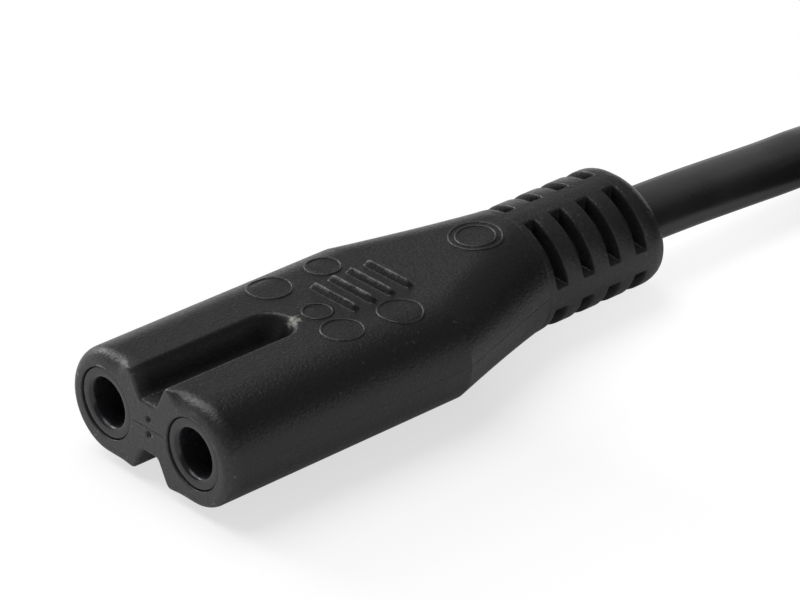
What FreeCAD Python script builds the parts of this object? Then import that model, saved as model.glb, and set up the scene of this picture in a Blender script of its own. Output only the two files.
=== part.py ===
import FreeCAD, Part
import math
import os
from FreeCAD import Vector

# Figure eight power connector on a flat two-core lead, in millimetres.
# The nose points along -Y, the cord leaves along +Y, and the part lies on the plane z = 0.

# Connector body: a soft moulding with two lobes, a groove above and below, and a taper
contact_pitch = 8.6
lobe_radius = 3.62
nose_length = 20.3
taper_length = 10.15
front_round = 0.6
groove_length = 11.7
groove_floor_width = 1.5
groove_mouth_width = 3.3
groove_edge_round = 0.4
bridge_height = 3.7
neck_flat = 0.6
flank_draw = 0.05
flank_place = 0.55

# Grip ribs across the middle of the body, above and below
rib_count = 4
rib_pitch = 1.55
rib_width = 0.6
rib_length = 4.3
rib_height = 0.42
rib_start = 15.5

# Strain relief: rings of slots between four webs, which stand a little turned
relief_radius = 4.3
neck_ring_width = 0.82
slot_count = 4
slot_width = 0.95
ring_width = 1.5
end_ring_width = 1.93
slot_floor_radius = 3.0
web_width = 1.6
web_turn = 6.8
relief_end_round = 1.3

# Contact carrier: a rigid insert of two tubes and a bridge, set back a little in the front face
tube_radius = 2.46
tube_set_back = 0.12
tube_length = 12.88
tube_lead_in = 0.22
carrier_bridge_length = 6.0
carrier_bridge_height = 2.4

# Contacts: brass sheet rolled to a split sleeve, with a crimp barrel behind
contact_bore_radius = 1.2
contact_sheet = 0.36
contact_clearance = 0.04
contact_set_back = 2.38
sleeve_length = 9.0
sleeve_slit = 0.35
crimp_length = 3.6
crimp_wall = 0.36
crimp_clearance = 0.03

# Cores and flat cord
conductor_radius = 0.45
core_radius = 0.98
strip_gap = 0.4
cord_width = 5.0
cord_thickness = 3.0
core_run_out = 2.0
core_slant = 6.5
sheath_grip = 12.5

# Hank: a flat cord wound on edge in long turns, two turns side by side, in layers
fold_radius = 15.0
hank_run = 39.0
hank_near_y = 52.0
turn_pitch = 3.15
turns_abreast = 2
layer_count = 4
layer_pitch = 5.05
hank_edge_round = 1.2
hank_skin = 0.1
entry_reach = 10.0
leave_angle = 26.0
leave_reach = 13.0
tie_thickness = 0.8
tie_width = 6.0
tie_round = 1.4

# Plug: a flat two-pin mains plug with sleeved pins
plug_width = 35.3
plug_thickness = 13.7
plug_waist_width = 26.0
plug_body_length = 32.0
plug_waist_place = 0.52
plug_relief_length = 14.0
plug_relief_radius = 4.2
plug_shoulder_radius = 5.4
plug_edge_round = 1.2
plug_slot_count = 4
plug_slot_width = 1.0
plug_slot_depth = 1.1
pin_spacing = 18.6
pin_tip_spacing = 17.8
pin_radius = 2.0
pin_length = 19.0
pin_tip_length = 9.0
pin_shank_radius = 1.4
pin_tail_length = 14.0
pin_sleeve_wall = 0.4
pin_sleeve_hold = 2.5
carrier_plate_width = 27.0
carrier_plate_height = 8.6
carrier_plate_depth = 5.0
pin_cup_depth = 4.0

# Places that follow from the sizes above
half_pitch = contact_pitch / 2
axis_z = relief_radius
slot_pitch = slot_width + ring_width
slots_length = slot_count * slot_width + (slot_count - 1) * ring_width
relief_length = neck_ring_width + slots_length + end_ring_width
relief_end = (nose_length + taper_length + relief_length) / 2
front_y = -relief_end
shoulder_y = front_y + nose_length
neck_y = shoulder_y + taper_length
sheath_start = relief_end - sheath_grip
tube_front = front_y + tube_set_back
tube_end = tube_front + tube_length
contact_front = tube_front + contact_set_back
contact_outer_radius = contact_bore_radius + contact_sheet
tube_bore_radius = contact_outer_radius + contact_clearance
crimp_bore_radius = conductor_radius + crimp_clearance
crimp_outer_radius = crimp_bore_radius + crimp_wall
neck_length = tube_end - contact_front - sleeve_length
crimp_front = tube_end
crimp_end = crimp_front + crimp_length
core_start = crimp_end + strip_gap
cord_core_x = cord_width / 2 - cord_thickness / 2
outer_fold = fold_radius + (turns_abreast - 1) * turn_pitch
hank_centre_x = outer_fold
hank_far_y = hank_near_y + hank_run
first_layer_z = tie_thickness + layer_pitch / 2
leave_layer_z = first_layer_z + layer_pitch
leave = math.radians(leave_angle)
fold_leave_x = hank_centre_x - outer_fold * math.cos(leave)
fold_leave_y = hank_far_y + outer_fold * math.sin(leave)
away_x = fold_leave_x + leave_reach * math.sin(leave)
away_y = fold_leave_y + leave_reach * math.cos(leave)
plug_axis_z = plug_thickness / 2

# The cord's route where it isn't coiled, chosen by hand: out of the strain relief and down to the hank,
# and from the second layer of the hank to the plug
lead_route = [
    (0.0, relief_end, axis_z),
    (0.0, 24.5, 4.2),
    (0.0, 30.5, 3.82),
    (0.0, 36.0, 3.4),
    (0.0, 39.5, first_layer_z),
    (0.0, hank_near_y - entry_reach, first_layer_z),
]
tail_route = [
    (away_x, away_y, leave_layer_z),
    (10.17, 116.03, leave_layer_z),
    (11.91, 121.72, 7.61),
    (12.79, 127.61, plug_axis_z),
    (12.79, 133.25, plug_axis_z),
]
plug_x, plug_rear_y, _ = tail_route[-1]
plug_shoulder_y = plug_rear_y + plug_relief_length
plug_face_y = plug_shoulder_y + plug_body_length


def along_y(radius, start, length, x=0.0, z=0.0):
    """A round bar along Y."""
    return Part.makeCylinder(radius, length, Vector(x, start, z), Vector(0, 1, 0))


def block(size_x, size_y, size_z, x, y, z):
    """A box centred on x and z, starting at y."""
    return Part.makeBox(size_x, size_y, size_z, Vector(x - size_x / 2, y, z - size_z / 2))


def fuse_all(shapes):
    """One solid from shapes that overlap or share faces."""
    copies = [shape.copy() for shape in shapes]
    whole = copies[0].multiFuse(copies[1:])
    return whole.removeSplitter()


def without(shape, *tools):
    """A shape with other shapes cut away, which stay as they were."""
    for tool in tools:
        shape = shape.cut(tool.copy())
    return shape


def oval(half_flat, radius, y, x=0.0, z=0.0, draw=0.0):
    """A closed outline across Y: a flat above and below, and a flank on each side made of two arcs
    that meet at mid height. A draw pulls the arcs' middles in, which leaves an edge there."""
    width = half_flat + radius
    bow = radius * math.sqrt(0.5) - draw

    def at(across, up):
        return Vector(x + across, y, z + up)

    edges = [Part.LineSegment(at(-half_flat, radius), at(half_flat, radius)).toShape()]
    corners = [
        (at(half_flat, radius), at(half_flat + bow, bow), at(width, 0)),
        (at(width, 0), at(half_flat + bow, -bow), at(half_flat, -radius)),
    ]
    edges += [Part.Arc(*three).toShape() for three in corners]
    edges.append(Part.LineSegment(at(half_flat, -radius), at(-half_flat, -radius)).toShape())
    corners = [
        (at(-half_flat, -radius), at(-half_flat - bow, -bow), at(-width, 0)),
        (at(-width, 0), at(-half_flat - bow, bow), at(-half_flat, radius)),
    ]
    edges += [Part.Arc(*three).toShape() for three in corners]
    return Part.Wire(edges)


def prism(outline, length):
    """An outline across Y drawn out along Y."""
    return Part.Face(outline).extrude(Vector(0, length, 0))


def rounded_path(points, name, run_on=0.0):
    """Straight runs joined by tangent arcs, each as large as its two runs allow. The last run is
    carried on by run_on."""
    points = [Vector(*p) for p in points]
    edges = []
    radii = []
    start = points[0]
    for before, corner, after in zip(points, points[1:], points[2:]):
        back = before - corner
        ahead = after - corner
        reach = 0.45 * min(back.Length, ahead.Length)
        back.normalize()
        ahead.normalize()
        turn = math.pi - back.getAngle(ahead)
        radii.append(reach / math.tan(turn / 2))
        enter = corner + back * reach
        leave = corner + ahead * reach
        to_centre = back + ahead
        to_centre.normalize()
        centre = corner + to_centre * (radii[-1] / math.cos(turn / 2))
        edges.append(Part.LineSegment(start, enter).toShape())
        edges.append(Part.Arc(enter, centre - to_centre * radii[-1], leave).toShape())
        start = leave
    last = points[-1] - points[-2]
    last.normalize()
    edges.append(Part.LineSegment(start, points[-1] + last * run_on).toShape())
    print(name, "bend radii", [round(r, 1) for r in radii])
    return Part.Wire(edges)


def swept(section, path, name):
    """A section carried along a path, with its volume compared with section times length."""
    solid = path.makePipeShell([section], True, False)
    expected = Part.Face(section).Area * path.Length
    print(name, "length", round(path.Length, 1))
    print(name, "volume", round(solid.Volume, 1), "expected", round(expected, 1))
    return solid


def flat_cord(points, name, yaw=0.0, run_on=0.0):
    """The flat cord along a route, its wide side level. The route starts turned by yaw from +Y to +X,
    and its last run is carried on by run_on, into the plug."""
    x, y, z = points[0]
    section = oval(cord_core_x, cord_thickness / 2, y, x, z)
    section.rotate(Vector(x, y, z), Vector(0, 0, 1), -yaw)
    return swept(section, rounded_path(points, name, run_on), name)


def round_core(points, radius, name):
    """A round conductor or core along a route that starts along Y."""
    circle = Part.Circle(Vector(*points[0]), Vector(0, 1, 0), radius)
    return swept(Part.Wire(circle.toShape()), rounded_path(points, name), name)


def groove_cutter(up):
    """A groove with sloping walls and a round end, above (up = 1) or below (up = -1) the bridge."""
    floor = bridge_height / 2
    slope = (groove_mouth_width - groove_floor_width) / 2 / (lobe_radius - floor)
    top = lobe_radius + 1.0
    half_floor = groove_floor_width / 2
    half_top = half_floor + slope * (top - floor)
    end_y = front_y + groove_length - groove_mouth_width / 2

    def at(x, y, z):
        return Vector(x, y, axis_z + up * z)

    front = front_y - 1.0
    corners = [(-half_floor, floor), (half_floor, floor), (half_top, top), (-half_top, top)]
    loop = Part.makePolygon([at(x, front, z) for x, z in corners + corners[:1]])
    trough = prism(loop, end_y - front)
    half = [(0, floor), (half_floor, floor), (half_top, top), (0, top)]
    loop = Part.makePolygon([at(x, end_y, z) for x, z in half + half[:1]])
    end = Part.Face(loop).revolve(at(0, end_y, 0), Vector(0, 0, 1), 360)
    return fuse_all([trough, end])


def grip_rib(y, up):
    """A raised bar across the body with round ends, sunk into the body below it."""
    half = rib_length / 2 - rib_width / 2
    foot = lobe_radius - 0.5
    height = lobe_radius + rib_height - foot
    z = axis_z + foot if up > 0 else axis_z - foot - height
    bar = Part.makeBox(2 * half, rib_width, height, Vector(-half, y - rib_width / 2, z))
    ends = [Part.makeCylinder(rib_width / 2, height, Vector(x, y, z)) for x in (-half, half)]
    rib = fuse_all([bar] + ends)
    rim_z = axis_z + up * (lobe_radius + rib_height)
    rim = [e for e in rib.Edges if all(abs(v.Point.z - rim_z) < 1e-6 for v in e.Vertexes)]
    return rib.makeFillet(0.6 * rib_height, rim)


def slot_ring(start):
    """One ring of slots: an annular cut with the four webs left standing."""
    ring = along_y(relief_radius + 1, start, slot_width, z=axis_z)
    ring = ring.cut(along_y(slot_floor_radius, start, slot_width, z=axis_z))
    span = 2 * relief_radius + 4
    level = block(span, slot_width, web_width, 0, start, axis_z)
    upright = block(web_width, slot_width, span, 0, start, axis_z)
    webs = fuse_all([level, upright])
    webs.rotate(Vector(0, 0, axis_z), Vector(0, 1, 0), web_turn)
    return ring.cut(webs)


def edges_at_y(shape, y):
    """The edges of a shape that lie wholly in one plane across Y."""
    flat = [e for e in shape.Edges if e.BoundBox.YLength < 1e-6]
    return [e for e in flat if abs(e.BoundBox.YMin - y) < 1e-6]


def core_points(sign, start_x, start_y, end_x, end_y, height, x=0.0):
    """A core's route: straight back, a slant towards the other row, and straight again."""
    way = 1 if end_y > start_y else -1
    slant_end = end_y - way * core_run_out
    slant_start = slant_end - way * core_slant
    places = [(start_x, start_y), (start_x, slant_start), (end_x, slant_end), (end_x, end_y)]
    return [(x + sign * across, y, height) for across, y in places]


def connector_outside():
    """The body's outside: nose, taper and slotted relief, with grooves and ribs."""
    nose = prism(oval(half_pitch, lobe_radius, front_y, z=axis_z), nose_length)
    nose = nose.makeFillet(front_round, edges_at_y(nose, front_y))
    for up in (1, -1):
        nose = nose.cut(groove_cutter(up))
    mouth = [
        e
        for e in nose.Edges
        if abs(abs(e.BoundBox.ZMin - axis_z) - lobe_radius) < 1e-6
        and abs(e.BoundBox.ZLength) < 1e-6
        and abs(e.BoundBox.XMax) < half_pitch - 0.5
        and e.BoundBox.YMin < front_y + groove_length - 0.1
    ]
    nose = nose.makeFillet(groove_edge_round, mouth)
    neck_half = neck_flat / 2

    def between(near, far):
        return near + flank_place * (far - near)

    taper = Part.makeLoft(
        [
            oval(half_pitch, lobe_radius, shoulder_y, z=axis_z),
            oval(
                between(half_pitch, neck_half),
                between(lobe_radius, relief_radius),
                shoulder_y + flank_place * taper_length,
                z=axis_z,
                draw=flank_draw,
            ),
            oval(neck_half, relief_radius, neck_y, z=axis_z),
        ],
        True,
        False,
    )
    relief = along_y(relief_radius, neck_y, relief_length, z=axis_z)
    relief = relief.makeFillet(relief_end_round, edges_at_y(relief, relief_end))
    for i in range(slot_count):
        relief = relief.cut(slot_ring(neck_y + neck_ring_width + i * slot_pitch))
    rows = [front_y + rib_start + i * rib_pitch for i in range(rib_count)]
    ribs = [grip_rib(y, up) for y in rows for up in (1, -1)]
    return fuse_all([nose, taper, relief] + ribs)


def contact_carrier():
    """Two tubes joined by a bridge near their rear ends, with a lead-in at each mouth."""
    tubes = [along_y(tube_radius, tube_front, tube_length, x, axis_z) for x in (-half_pitch, half_pitch)]
    bridge_y = tube_end - carrier_bridge_length
    bridge = block(contact_pitch, carrier_bridge_length, carrier_bridge_height, 0, bridge_y, axis_z)
    filled = fuse_all(tubes + [bridge])
    hollow = filled
    for x in (-half_pitch, half_pitch):
        hollow = hollow.cut(along_y(tube_bore_radius, tube_front, tube_length, x, axis_z))
        mouth = Vector(x, tube_front, axis_z)
        wide = tube_bore_radius + tube_lead_in
        hollow = hollow.cut(Part.makeCone(wide, tube_bore_radius, tube_lead_in, mouth, Vector(0, 1, 0)))
    return filled, hollow


def contact(x):
    """A split sleeve, a trough-shaped neck and a crimp barrel, rolled from one strip."""
    sleeve = along_y(contact_outer_radius, contact_front, sleeve_length, x, axis_z)
    sleeve = sleeve.cut(along_y(contact_bore_radius, contact_front, sleeve_length, x, axis_z))
    reach = 2 * contact_outer_radius
    upper_z = axis_z + reach / 2
    sleeve = sleeve.cut(block(sleeve_slit, sleeve_length, reach, x, contact_front, upper_z))
    neck_y0 = contact_front + sleeve_length
    neck = along_y(contact_outer_radius, neck_y0, neck_length, x, axis_z)
    neck = neck.cut(along_y(crimp_bore_radius, neck_y0, neck_length, x, axis_z))
    neck = neck.cut(block(2 * reach, neck_length, reach, x, neck_y0, upper_z))
    barrel = along_y(crimp_outer_radius, crimp_front, crimp_length, x, axis_z)
    barrel = barrel.cut(along_y(crimp_bore_radius, crimp_front, crimp_length, x, axis_z))
    return fuse_all([sleeve, neck, barrel])


def hank_solid():
    """The outer shape of the wound cord: a long ring, with the cord's two ends standing out of it."""
    height = layer_count * layer_pitch

    def long_round(radius):
        middle = Part.makeBox(
            2 * radius, hank_run, height, Vector(hank_centre_x - radius, hank_near_y, tie_thickness)
        )
        ends = [
            Part.makeCylinder(radius, height, Vector(hank_centre_x, y, tie_thickness))
            for y in (hank_near_y, hank_far_y)
        ]
        return fuse_all([middle] + ends)

    half_turn = cord_thickness / 2 + hank_skin
    ring = long_round(outer_fold + half_turn).cut(long_round(fold_radius - half_turn))
    flat = [e for e in ring.Edges if abs(e.BoundBox.ZLength) < 1e-6]
    ring = ring.makeFillet(hank_edge_round, flat)
    section = oval(cord_core_x, cord_thickness / 2, lead_route[-1][1], z=first_layer_z)
    near_stub = prism(section, entry_reach)
    section = oval(cord_core_x, cord_thickness / 2, fold_leave_y, fold_leave_x, leave_layer_z)
    far_stub = prism(section, leave_reach)
    far_stub.rotate(Vector(fold_leave_x, fold_leave_y, 0), Vector(0, 0, 1), -leave_angle)
    return fuse_all([ring, near_stub, far_stub])


def hank_tie(x):
    """A band round one long side of the hank."""
    bundle_width = (turns_abreast - 1) * turn_pitch + cord_thickness + 2 * hank_skin
    bundle_height = layer_count * layer_pitch
    y = hank_near_y + hank_run / 2 - tie_width / 2
    z = tie_thickness + bundle_height / 2
    band = block(bundle_width + 2 * tie_thickness, tie_width, bundle_height + 2 * tie_thickness, x, y, z)
    lengthways = [e for e in band.Edges if e.BoundBox.YLength > tie_width - 1e-6]
    band = band.makeFillet(tie_round, lengthways)
    inside = block(bundle_width, tie_width, bundle_height, x, y, z)
    lengthways = [e for e in inside.Edges if e.BoundBox.YLength > tie_width - 1e-6]
    return band.cut(inside.makeFillet(tie_round - tie_thickness, lengthways))


def plug_outside():
    """The plug's outside: a flat body that narrows to a waist, and a ringed strain relief."""
    half_thick = plug_thickness / 2
    body = Part.makeLoft(
        [
            oval(
                plug_shoulder_radius * 0.5,
                plug_shoulder_radius,
                plug_shoulder_y,
                plug_x,
                plug_axis_z,
            ),
            oval(
                plug_waist_width / 2 - half_thick,
                half_thick,
                plug_shoulder_y + plug_waist_place * plug_body_length,
                plug_x,
                plug_axis_z,
            ),
            oval(plug_width / 2 - half_thick, half_thick, plug_face_y, plug_x, plug_axis_z),
        ],
        True,
        True,
    )
    body = body.makeFillet(plug_edge_round, edges_at_y(body, plug_face_y))
    relief = Part.makeCone(
        plug_relief_radius,
        plug_shoulder_radius,
        plug_relief_length,
        Vector(plug_x, plug_rear_y, plug_axis_z),
        Vector(0, 1, 0),
    )
    pitch = plug_relief_length / (plug_slot_count + 1)
    slope = (plug_shoulder_radius - plug_relief_radius) / plug_relief_length
    for i in range(plug_slot_count):
        y = plug_rear_y + (i + 1) * pitch - plug_slot_width / 2
        outer = plug_relief_radius + slope * (y - plug_rear_y)
        ring = along_y(2 * plug_shoulder_radius, y, plug_slot_width, plug_x, plug_axis_z)
        ring = ring.cut(along_y(outer - plug_slot_depth, y, plug_slot_width, plug_x, plug_axis_z))
        relief = relief.cut(ring)
    return fuse_all([body, relief])


def lean(shape, sign):
    """Turns a pin's shape about its foot in the plug's face, so that the two pins close in."""
    angle = math.degrees(math.asin((pin_spacing - pin_tip_spacing) / 2 / pin_length))
    foot = Vector(plug_x + sign * pin_spacing / 2, plug_face_y, plug_axis_z)
    shape.rotate(foot, Vector(0, 0, 1), sign * angle)
    return shape


def plug_cup_mouth(sign):
    """Where the leaning pin's cup opens, as x and y."""
    angle = math.asin((pin_spacing - pin_tip_spacing) / 2 / pin_length)
    across = pin_spacing / 2 + pin_tail_length * math.sin(angle)
    return sign * across, plug_face_y - pin_tail_length * math.cos(angle)


def plug_pin(sign):
    """A round pin: a full tip with a round end, a thinner shank under its sleeve, and a cup behind."""
    x = plug_x + sign * pin_spacing / 2
    tip_y = plug_face_y + pin_length - pin_tip_length
    tail_y = plug_face_y - pin_tail_length
    shank = along_y(pin_shank_radius, tail_y, tip_y - tail_y, x, plug_axis_z)
    tip = along_y(pin_radius, tip_y, pin_tip_length, x, plug_axis_z)
    tip = tip.makeFillet(0.9 * pin_radius, edges_at_y(tip, tip_y + pin_tip_length))
    cup_x, cup_y = plug_cup_mouth(sign)
    cup = along_y(crimp_bore_radius, cup_y - 1, pin_cup_depth + 1, plug_x + cup_x, plug_axis_z)
    return without(lean(fuse_all([shank, tip]), sign), cup)


def pin_sleeve(sign):
    """The moulded sleeve on the pin's shank, held at its foot in the carrier."""
    x = plug_x + sign * pin_spacing / 2
    start = plug_face_y - pin_sleeve_hold
    length = pin_sleeve_hold + pin_length - pin_tip_length
    outer = along_y(pin_shank_radius + pin_sleeve_wall, start, length, x, plug_axis_z)
    return lean(outer.cut(along_y(pin_shank_radius, start, length, x, plug_axis_z)), sign)


# Connector
pieces = {}
carrier_filled, pieces["contact_carrier"] = contact_carrier()
body = without(connector_outside(), carrier_filled)
for side, sign in (("left", -1), ("right", 1)):
    x = sign * half_pitch
    pieces[f"contact_{side}"] = contact(x)
    route = core_points(sign, half_pitch, crimp_front, cord_core_x, sheath_start, axis_z)
    conductor = round_core(route, conductor_radius, f"conductor_{side}")
    core = round_core([(x, core_start, axis_z)] + route[1:], core_radius, f"core_insulation_{side}")
    recess = along_y(tube_radius, front_y - 1, tube_set_back + 1, x, axis_z)
    crimp_room = along_y(crimp_outer_radius, tube_end, crimp_end - tube_end, x, axis_z)
    bare_room = along_y(conductor_radius, crimp_end, strip_gap, x, axis_z)
    body = without(body, recess, crimp_room, core, bare_room)
    pieces[f"conductor_{side}"] = conductor
    pieces[f"core_insulation_{side}"] = without(core, conductor)
sheath = prism(oval(cord_core_x, cord_thickness / 2, sheath_start, z=axis_z), sheath_grip)
pieces["connector_body"] = without(body, sheath)

# Cord: the sheath in the relief and the stretch to the hank, the hank and its ties, and the tail
pieces["cord_lead"] = fuse_all([sheath, flat_cord(lead_route, "cord_lead")])
pieces["cord_hank"] = hank_solid()
tie_reach = outer_fold - (turns_abreast - 1) * turn_pitch / 2
pieces["hank_tie_left"] = hank_tie(hank_centre_x - tie_reach)
pieces["hank_tie_right"] = hank_tie(hank_centre_x + tie_reach)
tail = flat_cord(tail_route, "cord_tail", leave_angle, plug_relief_length)
pieces["cord_tail"] = tail

# Plug
carrier = prism(
    oval(
        carrier_plate_width / 2 - carrier_plate_height / 2,
        carrier_plate_height / 2,
        plug_face_y - carrier_plate_depth,
        plug_x,
        plug_axis_z,
    ),
    carrier_plate_depth,
)
shell = without(plug_outside(), carrier, tail)
for side, sign in (("left", -1), ("right", 1)):
    foot_x = plug_x + sign * pin_spacing / 2
    room_y = plug_face_y - pin_tail_length
    pin_room = lean(along_y(pin_shank_radius, room_y, pin_tail_length + 1, foot_x, plug_axis_z), sign)
    room_y = plug_face_y - pin_sleeve_hold
    room_radius = pin_shank_radius + pin_sleeve_wall
    sleeve_room = lean(along_y(room_radius, room_y, pin_sleeve_hold + 1, foot_x, plug_axis_z), sign)
    carrier = without(carrier, pin_room, sleeve_room)
    cup_x, cup_y = plug_cup_mouth(sign)
    reach_y = cup_y + 0.9 * pin_cup_depth
    route = core_points(sign, abs(cup_x), reach_y, cord_core_x, plug_shoulder_y, plug_axis_z, plug_x)
    conductor = round_core(route, conductor_radius, f"plug_conductor_{side}")
    core_route = [(plug_x + cup_x, cup_y - strip_gap, plug_axis_z)] + route[1:]
    core = round_core(core_route, core_radius, f"plug_core_{side}")
    bare_room = along_y(conductor_radius, cup_y - strip_gap, 2 * strip_gap, plug_x + cup_x, plug_axis_z)
    shell = without(shell, pin_room, core, bare_room)
    pieces[f"plug_pin_{side}"] = plug_pin(sign)
    pieces[f"pin_sleeve_{side}"] = pin_sleeve(sign)
    pieces[f"plug_conductor_{side}"] = conductor
    pieces[f"plug_core_{side}"] = without(core, conductor)
pieces["pin_carrier"] = carrier
pieces["plug_body"] = shell

os.makedirs("parts", exist_ok=True)
for name, shape in pieces.items():
    solids = shape.Solids
    print(name, "solids", len(solids), "valid", shape.isValid(), "volume", round(shape.Volume, 2))
    whole = solids[0] if len(solids) == 1 else shape
    whole.exportStep(f"parts/{name}.step")
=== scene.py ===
import math

import bpy
import numpy as np
from mathutils import Matrix, Vector


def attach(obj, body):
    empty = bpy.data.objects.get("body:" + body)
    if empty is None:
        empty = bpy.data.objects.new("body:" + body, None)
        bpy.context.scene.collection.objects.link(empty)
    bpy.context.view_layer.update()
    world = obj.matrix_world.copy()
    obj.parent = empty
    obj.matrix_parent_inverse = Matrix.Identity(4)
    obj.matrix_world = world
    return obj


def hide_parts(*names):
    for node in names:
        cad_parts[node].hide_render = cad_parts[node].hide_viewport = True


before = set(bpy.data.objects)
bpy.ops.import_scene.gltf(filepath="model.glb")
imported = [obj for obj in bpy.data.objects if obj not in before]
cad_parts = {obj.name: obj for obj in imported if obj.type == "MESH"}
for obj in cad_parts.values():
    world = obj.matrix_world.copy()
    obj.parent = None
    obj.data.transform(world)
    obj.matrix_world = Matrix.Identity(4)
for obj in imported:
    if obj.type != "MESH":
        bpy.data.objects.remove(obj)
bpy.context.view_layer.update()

# Contacts: brass strip rolled to a split sleeve with a crimp barrel behind it, pressed into the carrier.
# They are drawn brass, bright but a little dulled, and keep the solids' shape.
noise_low, noise_high = 0.3, 0.7


def new_material(name, metallic=0.0, roughness=0.5, specular=0.5):
    """A material with one main shader, its fixed numbers set on the shader's own sockets."""
    material = bpy.data.materials.new(name)
    material.use_nodes = True
    shader = material.node_tree.nodes["Principled BSDF"]
    shader.inputs["Metallic"].default_value = metallic
    shader.inputs["Roughness"].default_value = roughness
    shader.inputs["Specular IOR Level"].default_value = specular
    return material, material.node_tree, shader


def add_node(tree, kind, inputs, operation=None, data_type=None):
    """A new node whose inputs each get a fixed value or another node's output."""
    node = tree.nodes.new(kind)
    if operation:
        node.operation = operation
    if data_type:
        node.data_type = data_type
    for socket, value in inputs.items():
        if isinstance(value, bpy.types.NodeSocket):
            tree.links.new(value, node.inputs[socket])
        else:
            node.inputs[socket].default_value = value
    return node


def noise(tree, scale, detail=4.0, stretch=(1, 1, 1)):
    """A noise pattern fixed to the object; scale is in repeats per metre."""
    place = add_node(tree, "ShaderNodeTexCoord", {})
    fit = add_node(tree, "ShaderNodeMapping", {"Vector": place.outputs["Object"], "Scale": stretch})
    spread = {"Vector": fit.outputs["Vector"], "Scale": scale, "Detail": detail}
    return add_node(tree, "ShaderNodeTexNoise", spread).outputs["Fac"]


def ramp(tree, value, stops):
    """A colour that blends from stop to stop as the value grows; each stop is a position and a colour."""
    node = add_node(tree, "ShaderNodeValToRGB", {"Fac": value})
    marks = node.color_ramp.elements
    for k, (position, colour) in enumerate(stops):
        mark = marks[k] if k < 2 else marks.new(position)
        mark.position = position
        mark.color = (*colour, 1)
    return node.outputs["Color"]


def rescale(tree, value, low, high, to_low=0.0, to_high=1.0):
    """A value that goes evenly from to_low to to_high as the given one goes from low to high."""
    sizes = {"From Min": low, "From Max": high, "To Min": to_low, "To Max": to_high}
    return add_node(tree, "ShaderNodeMapRange", {"Value": value, **sizes}).outputs["Result"]


def colours(tree, shader, value, dark, light):
    """Gives the shader a colour that a pattern blends from dark to light."""
    blend = ramp(tree, value, [(noise_low, dark), (noise_high, light)])
    tree.links.new(blend, shader.inputs["Base Color"])


def sheen_of(tree, shader, value, smooth, rough):
    """Turns a pattern into a roughness between smooth and rough."""
    roughness = rescale(tree, value, noise_low, noise_high, smooth, rough)
    tree.links.new(roughness, shader.inputs["Roughness"])


def grain_of(tree, shader, height, depth, strength=1.0):
    """Fine relief on a surface, depth in metres."""
    relief = {"Height": height, "Distance": depth, "Strength": strength}
    node = add_node(tree, "ShaderNodeBump", relief)
    tree.links.new(node.outputs["Normal"], shader.inputs["Normal"])


def dress(material, *nodes):
    """Gives CAD nodes a better material."""
    for node in nodes:
        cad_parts[node].data.materials.clear()
        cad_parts[node].data.materials.append(material)


brass, tree, shader = new_material("brass", metallic=1.0)
drawn = noise(tree, 900, stretch=(6, 1, 6))
colours(tree, shader, drawn, (0.52, 0.36, 0.13), (0.70, 0.52, 0.22))
sheen_of(tree, shader, drawn, 0.28, 0.42)
grain_of(tree, shader, drawn, 1e-5)
dress(brass, "contact_left", "contact_right")

# Conductors and cores: stranded copper in brown and blue insulation, crimped to the contacts at one
# end and to the plug's pins at the other. They lie inside the mouldings.
copper, tree, shader = new_material("copper", metallic=1.0)
strands = noise(tree, 2500, stretch=(1, 0.1, 1))
colours(tree, shader, strands, (0.45, 0.18, 0.09), (0.78, 0.40, 0.25))
sheen_of(tree, shader, strands, 0.30, 0.45)
grain_of(tree, shader, strands, 6e-5)
dress(copper, "conductor_left", "conductor_right", "plug_conductor_left", "plug_conductor_right")
for side, dark, light in (
    ("left", (0.075, 0.028, 0.012), (0.110, 0.043, 0.018)),
    ("right", (0.010, 0.035, 0.150), (0.016, 0.055, 0.210)),
):
    core, tree, shader = new_material(f"core_{side}")
    flow = noise(tree, 700, stretch=(1, 0.2, 1))
    colours(tree, shader, flow, dark, light)
    sheen_of(tree, shader, flow, 0.35, 0.50)
    grain_of(tree, shader, flow, 1e-5)
    dress(core, f"core_insulation_{side}", f"plug_core_{side}")

# Contact carrier: two rigid tubes joined by a bridge, moulded in one hard dark plastic and set in
# the soft body. Each mouth is rounded outside and has a small lead-in for the pin. From here on the
# sizes of shapes are in millimetres, and add_piece turns them into metres.
axis_z = 4.3
front_y = -20.75
half_pitch = 4.3
tube_radius = 2.46
bore_radius = 1.6
tube_front = 0.12
tube_end = 13.0
tube_columns = 96
bridge_start, bridge_reach, bridge_half_height, bridge_edge = 7.0, 2.5, 1.2, 0.2


def quads(rows, columns):
    """Faces of a grid of points, row by row, with the last column joined to the first."""
    column = np.arange(columns)
    row = np.arange(rows - 1)[:, None] * columns
    ahead = (column + 1) % columns
    corners = [row + column, row + ahead, row + columns + ahead, row + columns + column]
    return np.stack([c.reshape(-1) for c in corners], axis=1)


def turned(profile, columns, x, z, lean=0.0, foot_y=0.0):
    """A closed ring: a loop of (radius, y) points turned about a line along Y at x, z, which may lean."""
    loop = np.array(profile, float)
    angle = np.linspace(0, 2 * np.pi, columns, endpoint=False)
    points = np.empty((len(loop), columns, 3))
    points[..., 0] = x + lean * (loop[:, 1:] - foot_y) + loop[:, :1] * np.sin(angle)
    points[..., 1] = loop[:, 1:]
    points[..., 2] = z + loop[:, :1] * np.cos(angle)
    faces = quads(len(loop) + 1, columns) % (len(loop) * columns)
    return points.reshape(-1, 3), [faces]


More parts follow.
